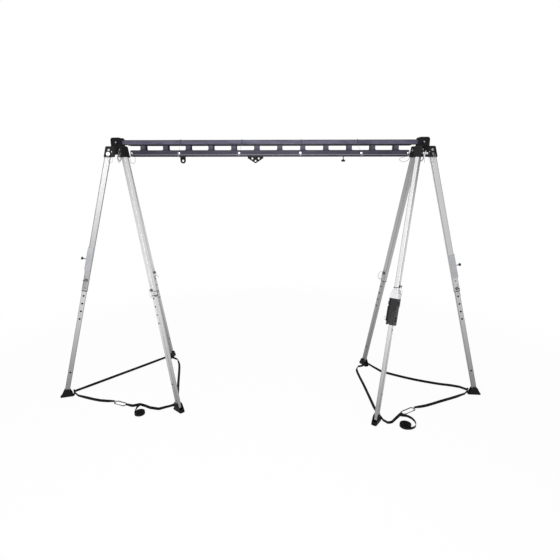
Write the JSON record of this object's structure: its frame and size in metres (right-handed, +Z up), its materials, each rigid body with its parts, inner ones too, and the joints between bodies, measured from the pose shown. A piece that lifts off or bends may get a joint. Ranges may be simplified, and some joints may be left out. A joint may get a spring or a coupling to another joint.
{
  "type": "rescue hexapod",
  "caption": "Two telescopic tripods joined by a windowed rigging beam, with pinned legs, boots, anchor links and foot straps, for rope rescue.",
  "frame": {"origin": "on the floor, in the middle of the box round the whole object without its straps", "axes": "+X along the beam to the right-hand tripod, +Y away from the viewer, +Z up"},
  "size_m": [4.12, 1.4164, 2.415],
  "materials": {
    "aluminium": "satin anodised",
    "slate": "dark anodised, satin",
    "black_metal": "black anodised, satin",
    "grey_metal": "grey, satin",
    "steel": "polished",
    "boot_rubber": "moulded, matt",
    "webbing": "woven",
    "knob_plastic": "moulded"
  },
  "bodies": {
    "beam": {"beam": "slate"},
    "left_yoke": {"left_yoke": "black_metal"},
    "left_head": {"left_head": "black_metal", "left_strap": "webbing", "left_strap_roll": "webbing", "left_carabiner": "steel"},
    "left_anchor_link": {"left_anchor_link": "steel"},
    "left_carabiner_gate": {"left_carabiner_gate": "steel"},
    "right_yoke": {"right_yoke": "black_metal"},
    "right_head": {"right_head": "black_metal", "right_strap": "webbing", "right_strap_roll": "webbing", "right_carabiner": "steel"},
    "right_anchor_link": {"right_anchor_link": "steel"},
    "right_carabiner_gate": {"right_carabiner_gate": "steel"},
    "left_outer_upper": {"left_outer_upper_leg": "aluminium", "left_bracket": "grey_metal"},
    "left_outer_lower": {"left_outer_lower_leg": "aluminium"},
    "left_outer_foot": {"left_outer_foot": "boot_rubber"},
    "left_outer_lock_pin": {"left_outer_lock_pin": "steel"},
    "left_outer_leg_pin": {"left_outer_leg_pin": "steel"},
    "left_front_upper": {"left_front_upper_leg": "aluminium"},
    "left_front_lower": {"left_front_lower_leg": "aluminium"},
    "left_front_foot": {"left_front_foot": "boot_rubber"},
    "left_front_lock_pin": {"left_front_lock_pin": "steel"},
    "left_front_leg_pin": {"left_front_leg_pin": "steel"},
    "left_rear_upper": {"left_rear_upper_leg": "aluminium"},
    "left_rear_lower": {"left_rear_lower_leg": "aluminium"},
    "left_rear_foot": {"left_rear_foot": "boot_rubber"},
    "left_rear_lock_pin": {"left_rear_lock_pin": "steel"},
    "left_rear_leg_pin": {"left_rear_leg_pin": "steel"},
    "right_outer_upper": {"right_outer_upper_leg": "aluminium", "right_bracket": "grey_metal"},
    "right_outer_lower": {"right_outer_lower_leg": "aluminium"},
    "right_outer_foot": {"right_outer_foot": "boot_rubber"},
    "right_outer_lock_pin": {"right_outer_lock_pin": "steel"},
    "right_outer_leg_pin": {"right_outer_leg_pin": "steel"},
    "right_front_upper": {"right_front_upper_leg": "aluminium", "winch_bracket": "black_metal"},
    "right_front_lower": {"right_front_lower_leg": "aluminium"},
    "right_front_foot": {"right_front_foot": "boot_rubber"},
    "right_front_lock_pin": {"right_front_lock_pin": "steel"},
    "right_front_leg_pin": {"right_front_leg_pin": "steel"},
    "right_rear_upper": {"right_rear_upper_leg": "aluminium"},
    "right_rear_lower": {"right_rear_lower_leg": "aluminium"},
    "right_rear_foot": {"right_rear_foot": "boot_rubber"},
    "right_rear_lock_pin": {"right_rear_lock_pin": "steel"},
    "right_rear_leg_pin": {"right_rear_leg_pin": "steel"},
    "left_bracket_knob": {"left_bracket_knob": "knob_plastic"},
    "right_bracket_knob": {"right_bracket_knob": "knob_plastic"},
    "winch_pin": {"winch_pin": "steel"},
    "eye_carriage": {"eye_carriage": "grey_metal"},
    "rigging_plate": {"rigging_plate": "grey_metal"},
    "clamp_knob": {"clamp_knob": "knob_plastic"},
    "beam_pin_1": {"beam_pin_1": "steel"},
    "beam_pin_2": {"beam_pin_2": "steel"},
    "beam_pin_3": {"beam_pin_3": "steel"},
    "beam_pin_4": {"beam_pin_4": "steel"},
    "beam_pin_5": {"beam_pin_5": "steel"},
    "beam_pin_6": {"beam_pin_6": "steel"}
  },
  "joints": [
    {"name": "left_yoke_tilt", "type": "hinge", "parent": "beam", "child": "left_yoke", "pos_m": [-1.35523, -0.06382, 2.374], "axis": [0, 1, 0], "range_deg": [-3, 3]},
    {"name": "left_head_swivel", "type": "hinge", "parent": "left_yoke", "child": "left_head", "pos_m": [-1.35523, -0.06382, 2.342], "axis": [0, 0, 1], "range_deg": [-41.6, 2.4]},
    {"name": "left_anchor_link_swing", "type": "hinge", "parent": "left_yoke", "child": "left_anchor_link", "pos_m": [-1.35523, -0.06382, 2.264], "axis": [1, 0, 0], "range_deg": [-60, 60]},
    {"name": "left_gate_opens", "type": "hinge", "parent": "left_head", "child": "left_carabiner_gate", "pos_m": [-1.45876, -0.42845, 0.006], "axis": [0, 0, 1], "range_deg": [0, 25], "stiffness_Nm_per_rad": 0.2},
    {"name": "right_yoke_tilt", "type": "hinge", "parent": "beam", "child": "right_yoke", "pos_m": [1.30477, -0.06382, 2.374], "axis": [0, 1, 0], "range_deg": [-3, 3]},
    {"name": "right_head_swivel", "type": "hinge", "parent": "right_yoke", "child": "right_head", "pos_m": [1.30477, -0.06382, 2.342], "axis": [0, 0, 1], "range_deg": [-19.2, 24.8]},
    {"name": "right_anchor_link_swing", "type": "hinge", "parent": "right_yoke", "child": "right_anchor_link", "pos_m": [1.30477, -0.06382, 2.264], "axis": [1, 0, 0], "range_deg": [-60, 60]},
    {"name": "right_gate_opens", "type": "hinge", "parent": "right_head", "child": "right_carabiner_gate", "pos_m": [1.2449, -0.48693, 0.006], "axis": [0, 0, 1], "range_deg": [0, 25], "stiffness_Nm_per_rad": 0.2},
    {"name": "left_outer_fold", "type": "hinge", "parent": "left_head", "child": "left_outer_upper", "pos_m": [-1.43059, -0.09065, 2.31], "axis": [0.3355, -0.9421, 0], "range_deg": [0, 13.36], "deforming": ["left_strap"]},
    {"name": "left_outer_slide", "type": "slide", "parent": "left_outer_upper", "child": "left_outer_lower", "axis": [-0.2416, -0.086, -0.9665], "range_m": [-0.933, 0.0765]},
    {"name": "left_outer_foot_pivot", "type": "hinge", "parent": "left_outer_lower", "child": "left_outer_foot", "pos_m": [-1.99607, -0.29201, 0.048], "axis": [0.3355, -0.9421, 0], "range_deg": [-15, 15]},
    {"name": "left_outer_lock_pin_pull", "type": "slide", "parent": "left_head", "child": "left_outer_lock_pin", "axis": [0.3355, -0.9421, 0], "range_m": [0, 0.03]},
    {"name": "left_outer_leg_pin_pull", "type": "slide", "parent": "left_outer_upper", "child": "left_outer_leg_pin", "axis": [0.3355, -0.9421, 0], "range_m": [0, 0.03]},
    {"name": "left_front_fold", "type": "hinge", "parent": "left_head", "child": "left_front_upper", "pos_m": [-1.2943, -0.11567, 2.31], "axis": [0.6481, 0.7615, 0], "range_deg": [0, 13.29], "deforming": ["left_strap"]},
    {"name": "left_front_slide", "type": "slide", "parent": "left_front_upper", "child": "left_front_lower", "axis": [0.1944, -0.1655, -0.9669], "range_m": [-0.88, 0.0765]},
    {"name": "left_front_foot_pivot", "type": "hinge", "parent": "left_front_lower", "child": "left_front_foot", "pos_m": [-0.83942, -0.5028, 0.048], "axis": [0.6481, 0.7615, 0], "range_deg": [-15, 15]},
    {"name": "left_front_lock_pin_pull", "type": "slide", "parent": "left_head", "child": "left_front_lock_pin", "axis": [-0.6481, -0.7615, 0], "range_m": [0, 0.03]},
    {"name": "left_front_leg_pin_pull", "type": "slide", "parent": "left_front_upper", "child": "left_front_leg_pin", "axis": [-0.6481, -0.7615, 0], "range_m": [0, 0.03]},
    {"name": "left_rear_fold", "type": "hinge", "parent": "left_head", "child": "left_rear_upper", "pos_m": [-1.34078, 0.01487, 2.31], "axis": [-0.9836, 0.1805, 0], "range_deg": [0, 13.76], "deforming": ["left_strap"]},
    {"name": "left_rear_slide", "type": "slide", "parent": "left_rear_upper", "child": "left_rear_lower", "axis": [0.0475, 0.2588, -0.9648], "range_m": [-0.8735, 0.0765]},
    {"name": "left_rear_foot_pivot", "type": "hinge", "parent": "left_rear_lower", "child": "left_rear_foot", "pos_m": [-1.22942, 0.62164, 0.048], "axis": [-0.9836, 0.1805, 0], "range_deg": [-15, 15]},
    {"name": "left_rear_lock_pin_pull", "type": "slide", "parent": "left_head", "child": "left_rear_lock_pin", "axis": [-0.9836, 0.1805, 0], "range_m": [0, 0.03]},
    {"name": "left_rear_leg_pin_pull", "type": "slide", "parent": "left_rear_upper", "child": "left_rear_leg_pin", "axis": [0.9836, -0.1805, 0], "range_m": [0, 0.03]},
    {"name": "right_outer_fold", "type": "hinge", "parent": "right_head", "child": "right_outer_upper", "pos_m": [1.38468, -0.06772, 2.31], "axis": [0.0489, 0.9988, 0], "range_deg": [0, 13.64], "deforming": ["right_strap"]},
    {"name": "right_outer_slide", "type": "slide", "parent": "right_outer_upper", "child": "right_outer_lower", "axis": [0.2609, -0.0128, -0.9653], "range_m": [-0.8535, 0.0765]},
    {"name": "right_outer_foot_pivot", "type": "hinge", "parent": "right_outer_lower", "child": "right_outer_foot", "pos_m": [1.99596, -0.09762, 0.048], "axis": [0.0489, 0.9988, 0], "range_deg": [-15, 15]},
    {"name": "right_outer_lock_pin_pull", "type": "slide", "parent": "right_head", "child": "right_outer_lock_pin", "axis": [-0.0489, -0.9988, 0], "range_m": [0, 0.03]},
    {"name": "right_outer_leg_pin_pull", "type": "slide", "parent": "right_outer_upper", "child": "right_outer_leg_pin", "axis": [-0.0489, -0.9988, 0], "range_m": [0, 0.03]},
    {"name": "right_front_fold", "type": "hinge", "parent": "right_head", "child": "right_front_upper", "pos_m": [1.26144, -0.13106, 2.31], "axis": [0.8406, -0.5417, 0], "range_deg": [0, 13.06], "deforming": ["right_strap"]},
    {"name": "right_front_slide", "type": "slide", "parent": "right_front_upper", "child": "right_front_lower", "axis": [-0.1362, -0.2113, -0.9679], "range_m": [-0.88, 0.0765]},
    {"name": "right_front_foot_pivot", "type": "hinge", "parent": "right_front_lower", "child": "right_front_foot", "pos_m": [0.94317, -0.62492, 0.048], "axis": [0.8406, -0.5417, 0], "range_deg": [-15, 15]},
    {"name": "right_front_lock_pin_pull", "type": "slide", "parent": "right_head", "child": "right_front_lock_pin", "axis": [0.8406, -0.5417, 0], "range_m": [0, 0.03]},
    {"name": "right_front_leg_pin_pull", "type": "slide", "parent": "right_front_upper", "child": "right_front_leg_pin", "axis": [0.8406, -0.5417, 0], "range_m": [0, 0.03]},
    {"name": "right_rear_fold", "type": "hinge", "parent": "right_head", "child": "right_rear_upper", "pos_m": [1.26821, 0.00734, 2.31], "axis": [-0.8894, -0.4571, 0], "range_deg": [0, 12.53], "deforming": ["right_strap"]},
    {"name": "right_rear_slide", "type": "slide", "parent": "right_rear_upper", "child": "right_rear_lower", "axis": [-0.1108, 0.2155, -0.9702], "range_m": [-0.9145, 0.0765]},
    {"name": "right_rear_foot_pivot", "type": "hinge", "parent": "right_rear_lower", "child": "right_rear_foot", "pos_m": [1.00994, 0.50987, 0.048], "axis": [-0.8894, -0.4571, 0], "range_deg": [-15, 15]},
    {"name": "right_rear_lock_pin_pull", "type": "slide", "parent": "right_head", "child": "right_rear_lock_pin", "axis": [0.8894, 0.4571, 0], "range_m": [0, 0.03]},
    {"name": "right_rear_leg_pin_pull", "type": "slide", "parent": "right_rear_upper", "child": "right_rear_leg_pin", "axis": [-0.8894, -0.4571, 0], "range_m": [0, 0.03]},
    {"name": "left_bracket_knob_turn", "type": "hinge", "parent": "left_outer_upper", "child": "left_bracket_knob", "pos_m": [-1.69522, -0.18488, 1.3489], "axis": [0.9105, 0.3242, -0.2565], "continuous": true},
    {"name": "right_bracket_knob_turn", "type": "hinge", "parent": "right_outer_upper", "child": "right_bracket_knob", "pos_m": [1.68555, -0.08244, 1.29235], "axis": [-0.9641, 0.0472, -0.2612], "continuous": true},
    {"name": "winch_pin_pull", "type": "slide", "parent": "right_front_upper", "child": "winch_pin", "axis": [-0.8406, 0.5417, 0], "range_m": [0, 0.03]},
    {"name": "eye_carriage_slide", "type": "slide", "parent": "beam", "child": "eye_carriage", "axis": [1, 0, 0], "range_m": [0, 0.47]},
    {"name": "rigging_plate_slide", "type": "slide", "parent": "beam", "child": "rigging_plate", "axis": [1, 0, 0], "range_m": [-0.076, 0.33]},
    {"name": "clamp_knob_turn", "type": "hinge", "parent": "beam", "child": "clamp_knob", "pos_m": [0.62977, -0.06382, 2.254], "axis": [0, 0, 1], "continuous": true},
    {"name": "beam_pin_1_pull", "type": "slide", "parent": "beam", "child": "beam_pin_1", "axis": [0, 1, 0], "range_m": [-0.066, 0]},
    {"name": "beam_pin_2_pull", "type": "slide", "parent": "beam", "child": "beam_pin_2", "axis": [0, -1, 0], "range_m": [0, 0.066]},
    {"name": "beam_pin_3_pull", "type": "slide", "parent": "beam", "child": "beam_pin_3", "axis": [0, -1, 0], "range_m": [0, 0.066]},
    {"name": "beam_pin_4_pull", "type": "slide", "parent": "beam", "child": "beam_pin_4", "axis": [0, -1, 0], "range_m": [0, 0.066]},
    {"name": "beam_pin_5_pull", "type": "slide", "parent": "beam", "child": "beam_pin_5", "axis": [0, -1, 0], "range_m": [0, 0.066]},
    {"name": "beam_pin_6_pull", "type": "slide", "parent": "beam", "child": "beam_pin_6", "axis": [0, -1, 0], "range_m": [0, 0.066]}
  ]
}
